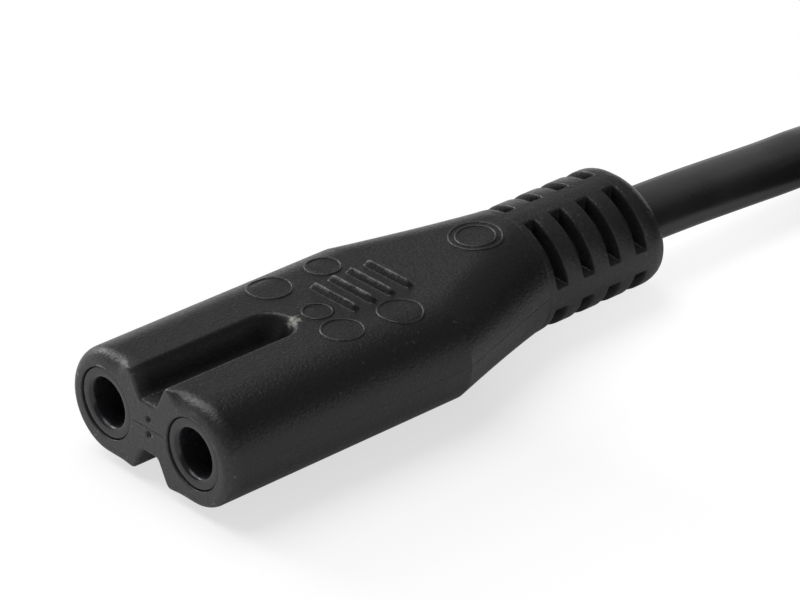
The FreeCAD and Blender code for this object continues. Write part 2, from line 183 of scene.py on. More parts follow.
def rounded_box(low, high, edge):
    """A box with bevelled edges: each side drawn in by edge, with strips and corners between the sides."""
    low, high = np.array(low, float), np.array(high, float)
    sign = np.array([[-1, -1, -1], [1, -1, -1], [1, 1, -1], [-1, 1, -1],
                     [-1, -1, 1], [1, -1, 1], [1, 1, 1], [-1, 1, 1]])
    corner = np.where(sign > 0, high, low)
    points = np.concatenate([corner - sign * edge * (1 - np.eye(3)[axis]) for axis in range(3)])
    x, y, z = (np.arange(8) + 8 * axis for axis in range(3))
    sides = [[x[0], x[4], x[7], x[3]], [x[1], x[2], x[6], x[5]], [y[0], y[1], y[5], y[4]],
             [y[3], y[7], y[6], y[2]], [z[0], z[3], z[2], z[1]], [z[4], z[5], z[6], z[7]]]
    strips = [[y[0], z[0], z[1], y[1]], [y[2], z[2], z[3], y[3]], [y[5], z[5], z[4], y[4]],
              [y[7], z[7], z[6], y[6]], [x[0], x[3], z[3], z[0]], [x[2], x[1], z[1], z[2]],
              [x[4], z[4], z[7], x[7]], [x[6], z[6], z[5], x[5]], [x[0], y[0], y[4], x[4]],
              [x[5], y[5], y[1], x[1]], [x[2], y[2], y[6], x[6]], [x[7], y[7], y[3], x[3]]]
    corners = np.stack([x, y, z], axis=1)
    inside_out = np.prod(sign, axis=1) < 0
    corners[inside_out] = corners[inside_out][:, ::-1]
    return points, [np.array(sides + strips), corners]


def add_piece(name, shells, material, slot, *nodes):
    """One piece of the object from closed shells of (points in millimetres, sets of faces), which stands
    for the named CAD nodes."""
    starts = np.cumsum([0] + [len(points) for points, _ in shells])
    points = np.concatenate([points for points, _ in shells]) / 1000
    parts = [part + start for (_, sets), start in zip(shells, starts) for part in sets]
    faces = [face for part in parts for face in part.tolist()]
    mesh = bpy.data.meshes.new(name)
    mesh.from_pydata(points.tolist(), [], faces)
    mesh.polygons.foreach_set("use_smooth", np.ones(len(mesh.polygons), bool))
    mesh.materials.append(material)
    piece = bpy.data.objects.new(name, mesh)
    bpy.context.scene.collection.objects.link(piece)
    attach(piece, "root")
    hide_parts(*nodes)
    return piece


mouth_outside = [(tube_radius, 0.30), (2.452, 0.22), (2.43, 0.165), (2.39, 0.13), (2.34, tube_front)]
mouth_inside = [(1.88, tube_front), (1.83, 0.135), (1.77, 0.18), (1.71, 0.25), (1.66, 0.335), (1.62, 0.45),
                (bore_radius, 0.6)]
tube_loop = [(tube_radius, tube_end), (tube_radius, bridge_start), *mouth_outside, *mouth_inside,
             (bore_radius, bridge_start), (bore_radius, tube_end)]
tube_loop = [(radius, front_y + s) for radius, s in tube_loop]
carrier_plastic, tree, shader = new_material("carrier_plastic", specular=0.45)
mottle = noise(tree, 1500)
colours(tree, shader, mottle, (0.012, 0.0125, 0.0145), (0.018, 0.0185, 0.0215))
sheen_of(tree, shader, mottle, 0.20, 0.30)
grain_of(tree, shader, noise(tree, 6000, 2), 6e-6)
tubes = [turned(tube_loop, tube_columns, x, axis_z) for x in (-half_pitch, half_pitch)]
bridge = rounded_box((-bridge_reach, front_y + bridge_start, axis_z - bridge_half_height),
                     (bridge_reach, front_y + tube_end, axis_z + bridge_half_height), bridge_edge)
add_piece("carrier_moulding", [*tubes, bridge], carrier_plastic, "carrier_moulding", "contact_carrier")

# Connector body: soft black plastic moulded over the carrier and the cord in one shot. Two lobes with
# a groove and four grip ribs above and below, a taper, and a strain relief slotted between four webs
# so that it can bend. A thin ridge shows where the mould's halves met.
lobe_radius = 3.62
nose_length = 20.3
taper_length = 10.15
neck_length = nose_length + taper_length
neck_half_flat = 0.3
relief_radius = 4.3
relief_length = 11.05
groove_half_mouth, groove_half_floor, groove_depth = 1.65, 0.75, 1.77
groove_straight = 10.05
mouth_round, floor_round = 0.5, 0.35
rib_places = (15.5, 17.05, 18.6, 20.15)
rib_height, rib_half_length, rib_end_round = 0.55, 2.15, 0.5
rib_near, rib_ridge, rib_far, rib_crest = -0.26, 0.06, 0.38, 0.9
taper_draw, taper_draw_place = 0.05, 0.55
ridge_height, ridge_start = 0.025, math.radians(88.7)
first_station, ridge_full = 1.3, 2.5
groove_edge, lobe_edge, lobe_edge_tilt = 0.24, 0.50, 0.34
lobe_edge_from, lobe_edge_full = 1.9, 3.0


def ease(low, high, value):
    """A soft step from 0 at low to 1 at high."""
    t = np.clip((value - low) / (high - low), 0, 1)
    return t * t * (3 - 2 * t)


def soft_max(a, b, width):
    """The greater of two heights, with the corner between them rounded over the width."""
    return np.maximum(a, b) + np.clip(width - np.abs(a - b), 0, None) ** 2 / (4 * width)


def top_relief(x, s):
    """Height above the flat top at x, and at s behind the front: less the groove, whose sloped walls meet
    the top and the floor in rounded corners, plus the ribs, which have steep sides and a round crest."""
    away = np.hypot(x, np.maximum(s - groove_straight, 0))
    wall = groove_depth * (groove_half_mouth - away) / (groove_half_mouth - groove_half_floor)
    height = soft_max(-soft_max(wall, 0, mouth_round), -groove_depth, floor_round)
    to_end = np.clip(1 - (rib_half_length - np.abs(x)) / rib_end_round, 0, 1)
    ends = np.sqrt(1 - to_end**2)
    for rib_s in rib_places:
        climb = (s - rib_s - rib_near) / (rib_ridge - rib_near)
        drop = (rib_s + rib_far - s) / (rib_far - rib_ridge)
        rib = np.maximum(-soft_max(-climb, -drop, rib_crest), 0)
        height = height + rib_height * ends * rib
    return height


def taper_size(s):
    """Half width of the flat and radius of the flank at s, which both go straight from lobes to neck."""
    t = np.clip((s - nose_length) / taper_length, 0, 1)
    half = half_pitch + (neck_half_flat - half_pitch) * t
    return half, lobe_radius + (relief_radius - lobe_radius) * t, t


def outline(s, across, turn):
    """The body's outline at stations s: a flat top and round flanks, a little drawn in along the taper,
    with the mould's ridge at mid height, mirrored to the other three quarters."""
    half, radius, t = (v[:, None] for v in taper_size(s))
    along = np.where(t < taper_draw_place, t / taper_draw_place, (1 - t) / (1 - taper_draw_place))
    draw = taper_draw * along * (2 - along) * np.sin(2 * turn)
    ridge = ridge_height * ease(ridge_start, np.pi / 2, turn) * ease(first_station, ridge_full, s)[:, None]
    x = half * across + radius * np.sin(turn) - draw + ridge
    z = radius * np.cos(turn) - draw
    z = z + top_relief(x, s[:, None]) * (turn == 0)
    x = np.concatenate([x, x[:, -2::-1], -x[:, 1:], -x[:, -2:0:-1]], axis=1)
    z = np.concatenate([z, -z[:, -2::-1], -z[:, 1:], z[:, -2:0:-1]], axis=1)
    return x, z


def fan(ring, middle):
    """Triangles from a ring of point numbers to one middle point."""
    return np.stack([ring, np.roll(ring, -1), np.full(len(ring), middle)], axis=1)


def capped(grid, first, last):
    """A closed shell: a grid of points whose first and last rows are closed to a middle point each."""
    rows, columns = grid.shape[:2]
    count = rows * columns
    faces = [quads(rows, columns), fan(np.arange(columns), count)[:, ::-1],
             fan(np.arange(count - columns, count), count + 1)]
    return np.concatenate([grid.reshape(-1, 3), [first, last]]), faces


# The nose and taper: points lie close together across the groove's walls and the ribs' ends, at the
# groove's round end and over each rib. The last two rows are tucked in under the relief.
flat = np.concatenate([np.arange(0, 0.6, 0.1), np.arange(0.6, 2.4, 0.06), np.linspace(2.4, half_pitch, 6)])
flank = np.radians(np.concatenate([np.linspace(0, 85, 18)[1:], [87.5, 88.7, 89.2, 89.6, 90]]))
across = np.concatenate([flat / half_pitch, np.ones(len(flank))])
turn = np.concatenate([np.zeros(len(flat)), flank])
rib_rows = np.array([
    -0.5, -0.3, -0.27, -0.255, -0.24, -0.18, -0.1, -0.06, -0.03, 0.0, 0.03, 0.06, 0.09, 0.12, 0.15, 0.2,
    0.28, 0.36, 0.375, 0.39, 0.42, 0.6, 0.8,
])
stations = np.concatenate([
    np.arange(first_station, 8.4, 0.6), np.arange(8.4, 12.2, 0.09), np.arange(12.2, 14.8, 0.45),
    (np.array(rib_places)[:, None] + rib_rows).reshape(-1), np.linspace(21.1, neck_length, 26),
])
x, z = outline(stations, across, turn)
tuck_step, tuck_share = np.array([0.1, 0.2]), np.array([0.993, 0.98])
tuck = np.concatenate([np.ones(len(stations)), tuck_share])[:, None]
stations = np.concatenate([stations, neck_length + tuck_step])
x, z = (tuck * np.vstack([v, v[-1:], v[-1:]]) for v in (x, z))
run_x = np.roll(x[0], -1) - np.roll(x[0], 1)
run_z = np.roll(z[0], -1) - np.roll(z[0], 1)
on_lobe = ease(lobe_edge_from, lobe_edge_full, np.abs(x[0]))
edge = groove_edge + (lobe_edge + lobe_edge_tilt * z[0] / lobe_radius) * on_lobe
bend = np.linspace(0, np.pi / 2, 9)[:, None]
inset = edge * (1 - np.sin(bend)) / np.hypot(run_x, run_z)
front_x = x[0] + inset * run_z
front_z = z[0] - inset * run_x
front_s = edge * (1 - np.cos(bend))
skin = np.concatenate([
    np.stack([front_x, front_y + front_s, axis_z + front_z], axis=2),
    np.stack([x, np.broadcast_to(front_y + stations[:, None], x.shape), axis_z + z], axis=2),
])
rows, columns = skin.shape[:2]
points = [skin.reshape(-1, 3), np.array([[0, front_y + neck_length, axis_z]])]
faces = [quads(rows, columns), fan(np.arange((rows - 1) * columns, rows * columns), rows * columns)]

# The front face: from the rim, and from a line down the middle, straight to each tube's mouth. A shallow
# parting line and two small ejector dimples lie between the mouths.
parting_z, parting_depth, parting_width, parting_share = 0.06, 0.045, 0.04, 0.9
dimple_places, dimple_radius, dimple_depth = (0.70, -0.40), 0.30, 0.28
half_columns = columns // 2
line_z = [np.linspace(front_z[0, half_columns], front_z[0, 0], 18)[1:-1]]
line_z += [parting_z + np.linspace(-0.08, 0.08, 5)]
line_z += [dimple_z + np.linspace(-0.32, 0.32, 15) for dimple_z in dimple_places]
line_z = np.unique(np.round(np.concatenate(line_z), 3))
rim_x = np.concatenate([front_x[0, : half_columns + 1], np.zeros(len(line_z))])
rim_z = np.concatenate([front_z[0, : half_columns + 1], line_z])
on_line = np.arange(len(rim_x)) > half_columns
about = np.arctan2(rim_x - half_pitch, rim_z)
mouth_start, mouth_radius = 2.56, 2.48
mouth = np.array([(mouth_start, 0.0), (2.53, 0.006), (2.50, 0.03), (2.485, 0.08), (mouth_radius, 0.14),
                  (mouth_radius, tube_end)])
share = np.array([0, 0.03, 0.06, 0.09, 0.12, 0.15, 0.18, 0.22, 0.3, 0.45, 0.6, 0.8, 0.93])[:, None]
patch_x = (1 - share) * rim_x + share * (half_pitch + mouth_start * np.sin(about))
patch_z = (1 - share) * rim_z + share * mouth_start * np.cos(about)
parting = parting_depth * np.exp(-(((rim_z - parting_z) / parting_width) ** 2))
patch_s = parting * on_line * (share < parting_share)
for dimple_z in dimple_places:
    from_middle = np.hypot(patch_x, patch_z - dimple_z) / dimple_radius
    patch_s = patch_s + dimple_depth * np.clip(1 - from_middle**2, 0, None) ** 2
patch_x = np.vstack([patch_x, half_pitch + mouth[:, :1] * np.sin(about)])
patch_z = np.vstack([patch_z, mouth[:, :1] * np.cos(about)])
patch_s = np.vstack([patch_s, np.broadcast_to(mouth[:, 1:], (len(mouth), len(about)))])
count = rows * columns + 1
for side in (1, -1):
    patch = np.stack([side * patch_x, front_y + patch_s, axis_z + patch_z], axis=2)
    points += [patch.reshape(-1, 3), np.array([[side * half_pitch, front_y + tube_end, axis_z]])]
    end = count + patch_x.size
    sets = [quads(*patch_x.shape) + count, fan(np.arange(end - len(about), end), end)]
    faces += [part[:, ::-1] if side > 0 else part for part in sets]
    count = end + 1
points = np.concatenate(points)
_, kept, places = np.unique(np.round(points, 5), axis=0, return_index=True, return_inverse=True)
nose_shell = points[kept], [places.reshape(-1)[part] for part in faces]

# The relief: a round sleeve with four rows of slots between webs that stand a little turned. It starts
# inside the neck, leans, and its rounded end reaches further below than above.
slot_count, slot_depth, slot_width, slot_pitch, first_slot = 4, 1.3, 0.95, 2.45, 0.82
web_half, web_turn, least_angle, wall_soft = 0.8, math.radians(6.8), 0.02, 0.3
end_round, end_reach, end_reach_from = 1.3, 0.7, 9.2
relief_lean, lean_run, swell_loss, swell_run = 0.09, 1.2, 0.1, 0.75
relief_sunk = 0.6
start_s, start_shrink = [-relief_sunk, -0.15, 0.0, 0.3], [0.5, 0.05, 0.0, 0.0]
lip_step = np.array([-0.20, -0.12, -0.06, -0.02, 0.01, 0.03, 0.05, 0.10, 0.18])
lip_depth = np.array([0.0, 0.012, 0.05, 0.13, 0.30, 0.80, 0.93, 0.985, 1.0])
one_slot = np.concatenate([lip_step, slot_width - lip_step[::-1]])
one_depth = np.concatenate([lip_depth, lip_depth[::-1]])
bend = np.linspace(0, np.pi / 2, 10)
relief_s = np.concatenate([
    start_s, (first_slot + slot_pitch * np.arange(slot_count)[:, None] + one_slot).reshape(-1),
    relief_length - end_round + end_round * np.sin(bend),
])
slot_share = np.concatenate([np.zeros(len(start_s)), np.tile(one_depth, slot_count), np.zeros(len(bend))])
end_shrink = end_round * (1 - np.cos(bend))
shrink = np.concatenate([start_shrink, np.zeros(slot_count * len(one_slot)), end_shrink])
quarter = np.concatenate([np.linspace(0, 9.5, 4), np.linspace(10.2, 16.2, 13), np.linspace(17.5, 45, 9)])
quarter = np.concatenate([quarter, 90 - quarter[-2:0:-1]])
angle = np.radians(np.concatenate([quarter + 90 * i for i in range(4)]))
from_web = np.abs((angle + np.pi / 4) % (np.pi / 2) - np.pi / 4)
wall = np.clip((relief_radius - web_half / np.sin(np.maximum(from_web, least_angle))) / slot_depth, 0, 1)
wall = wall_soft * ease(0, 1, wall) + (1 - wall_soft) * wall
angle = angle + web_turn
swell = np.abs(np.sin(angle)) * (neck_half_flat - swell_loss * ease(0, swell_run, relief_s))[:, None]
radius = relief_radius + swell - slot_depth * slot_share[:, None] * wall - shrink[:, None]
along = relief_s[:, None] - relief_lean * radius * np.cos(angle) * ease(0, lean_run, relief_s)[:, None]
at_end = ease(end_reach_from, relief_length, relief_s)[:, None]
along = front_y + neck_length + along + end_reach * (1 - np.cos(angle)) / 2 * at_end
relief_grid = np.stack([radius * np.sin(angle), along, axis_z + radius * np.cos(angle)], axis=2)
relief_start_y, relief_end_y = front_y + neck_length - relief_sunk, front_y + neck_length + relief_length
relief_shell = capped(relief_grid, (0, relief_start_y, axis_z), (0, relief_end_y, axis_z))


def plain_ring(x, s, ring_radius):
    """A raised ring on the top: a small round wire carried round a circle that lies on the surface."""
    wire, sink, steps, section_steps = 0.13, 0.06, 64, 10
    round_it = np.linspace(0, 2 * np.pi, steps, endpoint=False)[:, None]
    section = np.linspace(0, 2 * np.pi, section_steps, endpoint=False)
    out = ring_radius + wire * np.cos(section)
    ring_x, ring_s = x + out * np.cos(round_it), s + out * np.sin(round_it)
    half, top, _ = taper_size(ring_s)
    height = np.sqrt(top**2 - np.clip(np.abs(ring_x) - half, 0, None) ** 2) + wire * np.sin(section) - sink
    ring = np.stack([ring_x, front_y + ring_s, axis_z + height], axis=2)
    faces = quads(steps + 1, section_steps) % (steps * section_steps)
    return ring.reshape(-1, 3), [faces[:, ::-1]]


def combine(tree, operation, *values):
    """The result of one arithmetic step on two or three values."""
    return add_node(tree, "ShaderNodeMath", dict(enumerate(values)), operation).outputs["Value"]


def distance_from(tree, place, middle):
    """How far a place on the object is from a fixed point, in metres."""
    return add_node(tree, "ShaderNodeVectorMath", {0: place, 1: middle}, "DISTANCE").outputs["Value"]


def mix_colours(tree, factor, first, second):
    """The first colour where the factor is 0, the second where it is 1, and a blend between."""
    inputs = {"Factor": factor, "A": first, "B": second}
    return add_node(tree, "ShaderNodeMix", inputs, data_type="RGBA").outputs["Result"]


# The body's colour: painted light makes the front face paler, and the back of the taper and the relief
# paler again, for the light they catch. A fine mottle and a few dust specks lie over it.
ring_places = [(-3.9, 13.4, 1.5), (-3.8, 17.9, 1.2), (0.6, 13.6, 1.0), (3.5, 13.2, 1.4), (4.1, 17.6, 1.5),
               (0.5, 27.5, 1.8), (0.5, 27.5, 1.35)]
body_tones_with_painted_light = [(0.004, 0.036), (0.030, 0.0095), (0.70, 0.013), (0.78, 0.023)]
blue_share = 1.03
dust_stops = [(0.25, (0.75, 0.75, 0.78)), (0.72, (1.1, 1.1, 1.1)), (0.77, (3.6, 3.6, 3.4))]
body_plastic, tree, shader = new_material("body_plastic", specular=0.36)
body_place = add_node(tree, "ShaderNodeTexCoord", {}).outputs["Object"]
body_parts = add_node(tree, "ShaderNodeSeparateXYZ", {"Vector": body_place}).outputs
back_share = rescale(tree, body_parts["Y"], front_y / 1000, -front_y / 1000)
# Painted light: the tones are paler at the front face and towards the back, for the light falling there.
painted_light_tone = ramp(tree, back_share, [(back, (tone, tone, blue_share * tone)) for back, tone in body_tones_with_painted_light])
dust = ramp(tree, noise(tree, 3600, 1), dust_stops)
painted_light_and_dust = add_node(tree, "ShaderNodeVectorMath", {0: painted_light_tone, 1: dust}, "MULTIPLY").outputs["Vector"]

# A painted highlight on the rounded end of the upper groove, broken up by a fine pattern.
groove_highlight_middle = (0.0004, (front_y + 11.75) / 1000, (axis_z + 3.5) / 1000)
groove_highlight_inside, groove_highlight_outside = 0.0003, 0.0011
groove_highlight_low, groove_highlight_high = 0.30, 0.55
groove_highlight_colour = (0.23, 0.22, 0.19, 1)
nearness = rescale(tree, distance_from(tree, body_place, groove_highlight_middle), groove_highlight_outside, groove_highlight_inside)
broken = combine(tree, "MULTIPLY", nearness, noise(tree, 3800, 3))
with_groove_highlight = mix_colours(tree, rescale(tree, broken, groove_highlight_low, groove_highlight_high), painted_light_and_dust, groove_highlight_colour)

# Painted highlights in spots on the upper ribs' crests. Nothing else in front of the taper is as high.
nose_top = axis_z + lobe_radius
crest_highlight_from, crest_highlight_full, crest_highlight_end = nose_top + 0.22, nose_top + 0.40, front_y + nose_length + 0.4
crest_highlight_low, crest_highlight_high = 0.42, 0.62
crest_highlight_colour = (0.11, 0.11, 0.105, 1)
on_crest = rescale(tree, body_parts["Z"], crest_highlight_from / 1000, crest_highlight_full / 1000)
before_taper = combine(tree, "LESS_THAN", body_parts["Y"], crest_highlight_end / 1000)
spots = rescale(tree, noise(tree, 1500, 3), crest_highlight_low, crest_highlight_high)
crest_highlight_share = combine(tree, "MULTIPLY", combine(tree, "MULTIPLY", on_crest, before_taper), spots)
with_crest_highlight = mix_colours(tree, crest_highlight_share, with_groove_highlight, crest_highlight_colour)
tree.links.new(with_crest_highlight, shader.inputs["Base Color"])
grain = noise(tree, 5200, 3)
sheen_of(tree, shader, grain, 0.28, 0.42)
grain_of(tree, shader, grain, 4.6e-5, 0.9)
shells = [nose_shell, relief_shell] + [plain_ring(*ring_place) for ring_place in ring_places]
add_piece("body_moulding", shells, body_plastic, "body_moulding", "connector_body")

# Cord: a flat two-core lead, 5 by 3 mm, in smooth black plastic. It leaves the relief level, turns on
# edge, and the length that isn't seen is wound in a hank, two turns abreast and four layers high.
lead = [(0, 20.4, 4.3), (0, 24.5, 4.2), (0, 30.5, 3.82), (0, 36.0, 3.4), (0, 39.5, 3.325), (0, 42.0, 3.325)]
tail = [(7.536, 110.641, 8.375), (10.17, 116.03, 8.375), (11.91, 121.72, 7.61), (12.79, 127.61, 6.85),
        (12.79, 133.75, 6.85)]
hank_x, near_y, far_y = 18.15, 52.0, 91.0
first_layer_z, layer_pitch = 3.325, 5.05
outer, inner = 18.15, 15.0
left_runs = [(outer, 0), (inner, 0), (inner, 1), (inner, 2), (inner, 3), (outer, 3), (outer, 2),
             (outer, 1)]
right_runs = [(outer, 0), (inner, 0), (inner, 1), (inner, 2), (inner, 3), (outer, 2), (outer, 1)]
near_windows = [(110, 180), (50, 130), (50, 130), (50, 130), (0, 70), (0, 180), (0, 180)]
far_window = (0, 180)
fold = np.arange(10, 180, 20.0)
fold_reach = 0.985
run_points = np.array([6.5, 19.5, 32.5])


def place_of(run):
    """A run's distance from the hank's middle line and its height."""
    return np.array([run[0], first_layer_z + layer_pitch * run[1]])


def straight_run(run, y, side):
    """Points along one long side of the hank."""
    out, height = place_of(run)
    still = np.ones(len(run_points))
    return np.stack([(hank_x + side * out) * still, y - side * run_points, height * still], axis=1)


def fold_round(start, end, window, y, way):
    """Points round one end of the hank, which pass from one run's place to the next in a window of
    angles."""
    mix = ease(window[0], window[1], fold)[:, None]
    at = (1 - mix) * place_of(start) + mix * place_of(end)
    out = way * at[:, 0] / fold_reach
    turn = np.radians(fold)
    return np.stack([hank_x - out * np.cos(turn), y + out * np.sin(turn), at[:, 1]], axis=1)


route = [np.array(lead, float)]
for left, right, next_left, near_window in zip(left_runs, right_runs, left_runs[1:], near_windows):
    route += [straight_run(left, near_y, -1), fold_round(left, right, far_window, far_y, 1)]
    route += [straight_run(right, far_y, 1), fold_round(right, next_left, near_window, near_y, -1)]
last = left_runs[-1]
route += [straight_run(last, near_y, -1), fold_round(last, last, far_window, far_y, 1)[:1]]
route += [np.array(tail, float)]
route = np.concatenate(route) / 1000
curve = bpy.data.curves.new("cord_line", "CURVE")
curve.dimensions = "3D"
spline = curve.splines.new("NURBS")
spline.points.add(len(route) - 1)
spline.points.foreach_set("co", np.column_stack([route, np.ones(len(route))]).reshape(-1))
spline.order_u = 3
spline.use_endpoint_u = True
spline.resolution_u = 6
line_object = bpy.data.objects.new("cord_line", curve)
line_mesh = bpy.data.meshes.new_from_object(line_object)
line = np.empty(len(line_mesh.vertices) * 3)
line_mesh.vertices.foreach_get("co", line)
line = line.reshape(-1, 3)
bpy.data.objects.remove(line_object)
bpy.data.meshes.remove(line_mesh)
bpy.data.curves.remove(curve)

# The tube, in metres: an oval section carried along the line, level at both ends and turned on edge
# between them.
half_thick, half_flat, flat_steepness, section_steps = 0.0015, 0.001, 4, 32
turn_from, turn_full, level_end = 0.017, 0.034, 0.010
distance = np.concatenate([[0], np.cumsum(np.linalg.norm(np.diff(line, axis=0), axis=1))])
ahead = np.gradient(line, axis=0)
ahead /= np.linalg.norm(ahead, axis=1, keepdims=True)
level = np.cross(ahead, (0, 0, 1))
level /= np.linalg.norm(level, axis=1, keepdims=True)
upward = np.cross(level, ahead)
to_end = distance[-1] - distance
on_edge = np.pi / 2 * ease(turn_from, turn_full, distance) * ease(level_end, turn_full, to_end)
wide = np.cos(on_edge)[:, None] * level + np.sin(on_edge)[:, None] * upward
thick = np.cos(on_edge)[:, None] * upward - np.sin(on_edge)[:, None] * level
section = np.linspace(0, 2 * np.pi, section_steps, endpoint=False)
section_a = half_thick * np.sin(section) + half_flat * np.clip(flat_steepness * np.sin(section), -1, 1)
section_b = half_thick * np.cos(section)
tube = 1000 * (line[:, None] + section_a[:, None] * wide[:, None] + section_b[:, None] * thick[:, None])
cord_plastic, tree, shader = new_material("cord_plastic", specular=0.42)
flow = noise(tree, 300)
colours(tree, shader, flow, (0.021, 0.021, 0.0214), (0.027, 0.027, 0.0275))
sheen_of(tree, shader, flow, 0.26, 0.36)
grain_of(tree, shader, noise(tree, 4000, 2), 1e-5, 0.5)
cord_shell = capped(tube, 1000 * line[0], 1000 * line[-1])
cord = add_piece("cord", [cord_shell], cord_plastic, "cord_sheath", "cord_lead", "cord_hank", "cord_tail")

# Ties: two soft woven bands that hold the hank's runs together, each wrapped round them and closed on
# itself with its free end pressed down over the first turn.
band_half_width, band_thickness, bundle_half_x, bundle_half_z = 3.0, 0.8, 3.175, 10.1
inner_round, free_end_stop = 0.6, 0.2
inner_half, outer_half, inner_bevel, outer_side = 2.88, 2.8, 0.12, 0.62
band_edge = np.array([
    (inner_bevel, -band_half_width), (0.0, -inner_half), (0.0, inner_half), (inner_bevel, band_half_width),
    (outer_side, band_half_width), (band_thickness, outer_half), (band_thickness, -outer_half),
    (outer_side, -band_half_width),
])
tie_y = (near_y + far_y) / 2
tie_z = band_thickness + bundle_half_z


def band(x, path, lift, closed):
    """A band: a flat section carried along corners given as (x, z, angle), each lifted off the bundle."""
    path = np.array(path)
    out = band_edge[:, 0] + inner_round + lift
    points = np.stack([
        x + path[:, :1] + out * np.sin(path[:, 2:]),
        np.broadcast_to(tie_y + band_edge[:, 1], (len(path), len(band_edge))),
        tie_z + path[:, 1:2] + out * np.cos(path[:, 2:]),
    ], axis=2)
    if not closed:
        return capped(points, points[0].mean(axis=0), points[-1].mean(axis=0))
    faces = quads(len(path) + 1, len(band_edge)) % (len(path) * len(band_edge))
    return points.reshape(-1, 3), [faces]


corner_x, corner_z = bundle_half_x - inner_round, bundle_half_z - inner_round
corner_turn = np.linspace(0, np.pi / 2, 9)
corners = [(corner_x, corner_z, 0), (corner_x, -corner_z, np.pi / 2), (-corner_x, -corner_z, np.pi),
           (-corner_x, corner_z, 1.5 * np.pi)]
all_round = [(corner[0], corner[1], corner[2] + t) for corner in corners for t in corner_turn]
tie_fabric, tree, shader = new_material("tie_fabric", specular=0.2)
loops = noise(tree, 2600, 2)
colours(tree, shader, loops, (0.008, 0.008, 0.009), (0.026, 0.026, 0.028))
sheen_of(tree, shader, loops, 0.75, 0.95)
grain_of(tree, shader, loops, 1.5e-4)
ties = []
for side, sign in (("left", -1), ("right", 1)):
    middle_x = hank_x + sign * (outer + inner) / 2
    free_end = [(-corner_x, corner_z, 0.0)] + [(corner_x, corner_z, t) for t in corner_turn]
    free_end += [(corner_x, free_end_stop * corner_z, np.pi / 2)]
    free_end = np.array(free_end)[::-sign] * (-sign, 1, -sign)
    shells = [band(middle_x, all_round, 0, True), band(middle_x, free_end, band_thickness, False)]
    ties.append(add_piece(f"tie_{side}", shells, tie_fabric, "tie_band", f"hank_tie_{side}"))

# Plug: a flat two-pin mains plug. Its body is moulded over a hard pin carrier in the same soft plastic
# as the connector, and a ringed relief holds the cord.
plug_x, plug_z = 12.79, 6.85
relief_y, shoulder_y, face_y = 133.25, 147.25, 179.25
shoulder_radius, rear_radius, plug_half_thick = 5.4, 4.2, 6.85
shoulder_half, waist_half, face_half, waist_y = 2.7, 6.15, 10.8, 163.89
plate_half, plate_radius = 9.2, 4.3
face_round, waist_round, thick_round = 1.2, 0.8, 0.5
plug_sunk, seat_lip, seat_gap, seat_edge, seat_depth = 0.6, 0.06, 0.02, 0.08, 1.0


def oval_rows(half, radius, y):
    """Rows of points round ovals: two half circles of the row's radius, a flat of the row's half width
    apart."""
    steps = 33
    turn = np.linspace(0, np.pi, steps)
    turn = np.concatenate([turn, turn + np.pi])
    side = np.concatenate([np.ones(steps), -np.ones(steps)])
    half, radius, y = (np.asarray(v, float)[:, None] for v in (half, radius, y))
    x = plug_x + half * side + radius * np.sin(turn)
    return np.stack([x, np.broadcast_to(y, x.shape), plug_z + radius * np.cos(turn)], axis=2)


plug_y = np.linspace(shoulder_y - plug_sunk, face_y - face_round, 60)
to_waist = (plug_y - shoulder_y) / (waist_y - shoulder_y)
past_waist = (plug_y - waist_y) / (face_y - waist_y)
rear_line = shoulder_half + (waist_half - shoulder_half) * to_waist
face_line = waist_half + (face_half - waist_half) * past_waist
plug_half = soft_max(rear_line, face_line, waist_round)
thick_line = shoulder_radius + (plug_half_thick - shoulder_radius) * to_waist
plug_radius = -soft_max(-thick_line, np.full(len(plug_y), -plug_half_thick), thick_round)
bend = np.linspace(0, np.pi / 2, 9)[1:]
face_share = np.linspace(0, 1, 6)[1:]
face_radius = plug_half_thick - face_round
seat_radius = plate_radius + seat_gap
half_rows = np.concatenate([
    plug_half, np.full(len(bend), face_half), face_half + (plate_half - face_half) * face_share,
    [plate_half, plate_half],
])
radius_rows = np.concatenate([
    plug_radius, plug_half_thick - face_round * (1 - np.cos(bend)),
    face_radius + (plate_radius + seat_lip - face_radius) * face_share, [seat_radius, seat_radius],
])
y_rows = np.concatenate([
    plug_y, face_y - face_round * (1 - np.sin(bend)), np.full(len(face_share), face_y),
    [face_y - seat_edge, face_y - seat_depth],
])
plug_start, plug_end = (plug_x, shoulder_y - plug_sunk, plug_z), (plug_x, face_y - seat_depth, plug_z)
plug_shell = capped(oval_rows(half_rows, radius_rows, y_rows), plug_start, plug_end)

# The plug's relief: a cone with four ring slots, rounded at its rear and run a little into the body.
ring_count, ring_width, ring_depth, ring_pitch = 4, 1.0, 1.1, 2.8
rear_round, cone_length, cone_sunk, widen_from = 1.0, shoulder_y - relief_y, 1.0, 10.5
lip_y = np.array([-0.2, -0.08, -0.02, 0.02, 0.08, 0.2])
lip_share = np.array([0, 0.03, 0.15, 0.85, 0.97, 1])
one_ring = np.concatenate([lip_y, ring_width - lip_y[::-1]]) - ring_width / 2
one_share = np.concatenate([lip_share, lip_share[::-1]])
bend = np.linspace(0, np.pi / 2, 7)
ring_middles = ring_pitch * np.arange(1, ring_count + 1)[:, None]
cone_y = np.concatenate([
    rear_round * (1 - np.cos(bend)), (ring_middles + one_ring).reshape(-1),
    [cone_length, cone_length + cone_sunk],
])
cone_cut = np.concatenate([
    rear_round * (1 - np.sin(bend)), ring_depth * np.tile(one_share, ring_count), [0, 0],
])
cone_radius = rear_radius + (shoulder_radius - rear_radius) * cone_y / cone_length - cone_cut
cone_half = shoulder_half * ease(widen_from, cone_length, cone_y)
cone_start, cone_end = (plug_x, relief_y, plug_z), (plug_x, shoulder_y + cone_sunk, plug_z)
plug_relief = capped(oval_rows(cone_half, cone_radius, relief_y + cone_y), cone_start, cone_end)

